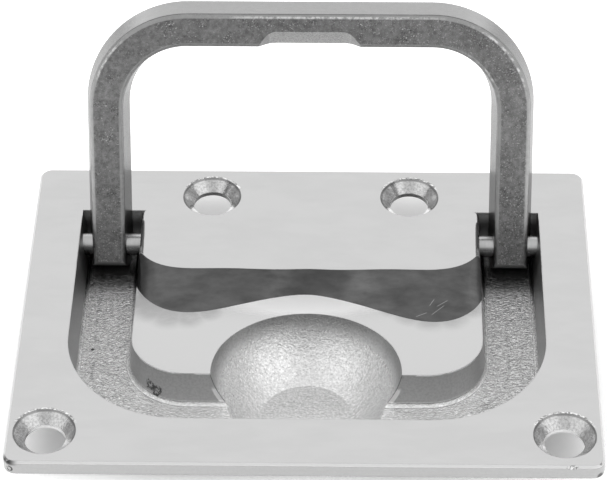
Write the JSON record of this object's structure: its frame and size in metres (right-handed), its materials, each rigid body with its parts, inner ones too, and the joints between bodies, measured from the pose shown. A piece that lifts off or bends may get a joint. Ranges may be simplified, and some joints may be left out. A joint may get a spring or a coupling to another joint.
{
  "type": "flush grab handle",
  "caption": "Flush lifting handle: rectangular cast plate with a U-shaped groove and a finger bowl, and a bail hinged on pins at the rear that folds down into the groove.",
  "frame": {"origin": "centre of the flange's underside, the face that seats on the panel", "axes": "+X along the plate, +Y to the side where the bail is hinged, +Z out of the panel"},
  "size_m": [0.076, 0.06, 0.0405],
  "materials": {
    "plate": "mirror polished face and island, as-cast groove and bowl",
    "bail": "polished back, fine as-cast front",
    "pins": "satin"
  },
  "bodies": {
    "base": {"base_plate": "plate", "left_pivot_pin": "pins", "right_pivot_pin": "pins"},
    "bail": {"handle": "bail"}
  },
  "joints": [
    {"name": "bail_pivot", "type": "hinge", "parent": "base", "child": "bail", "pos_m": [0, 0.01635, -0.0009], "axis": [1, 0, 0], "range_deg": [0, 112.5]}
  ]
}
